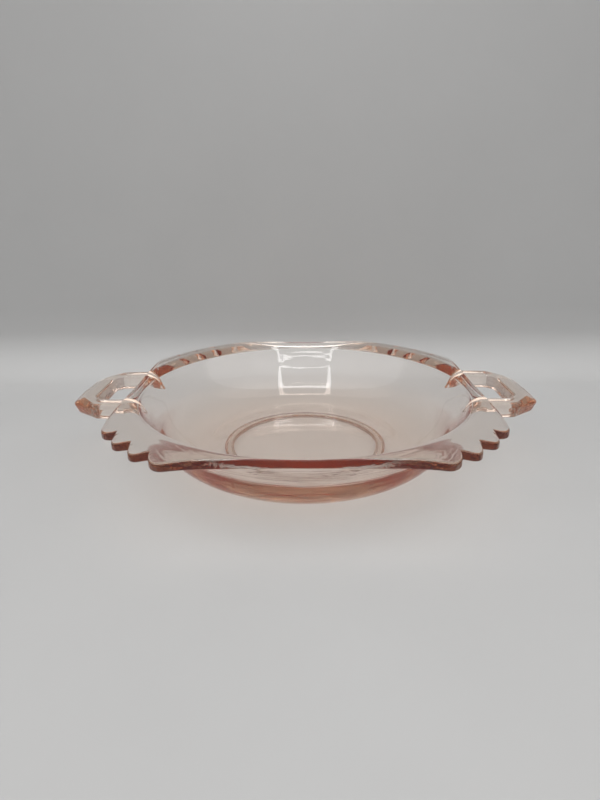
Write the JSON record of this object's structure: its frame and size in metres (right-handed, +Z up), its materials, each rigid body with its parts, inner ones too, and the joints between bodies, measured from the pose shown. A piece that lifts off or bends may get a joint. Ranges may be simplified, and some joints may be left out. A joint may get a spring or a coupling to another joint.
{
  "type": "two-handled candy dish",
  "caption": "Shallow round pressed-glass candy dish with a square-cut serrated rim, a foot ring and an open loop handle at each end.",
  "frame": {"origin": "centre of the foot ring's resting face, on the table", "axes": "+Z up, +X from the dish's centre to the right-hand handle, +Y to the back; the handles lie along X"},
  "size_m": [0.225, 0.17, 0.038],
  "materials": {
    "pink_glass": "fire-polished pale peach-pink pressed glass"
  },
  "bodies": {
    "root": {"bowl_floor": "pink_glass", "foot_ring": "pink_glass", "bowl_heel": "pink_glass", "bowl_wall": "pink_glass", "rim_flange": "pink_glass", "scallops_front_left": "pink_glass", "scallops_front_right": "pink_glass", "scallops_back_left": "pink_glass", "scallops_back_right": "pink_glass", "handle_left": "pink_glass", "handle_right": "pink_glass", "gusset_front_left": "pink_glass", "gusset_front_right": "pink_glass", "gusset_back_left": "pink_glass", "gusset_back_right": "pink_glass"}
  },
  "joints": []
}
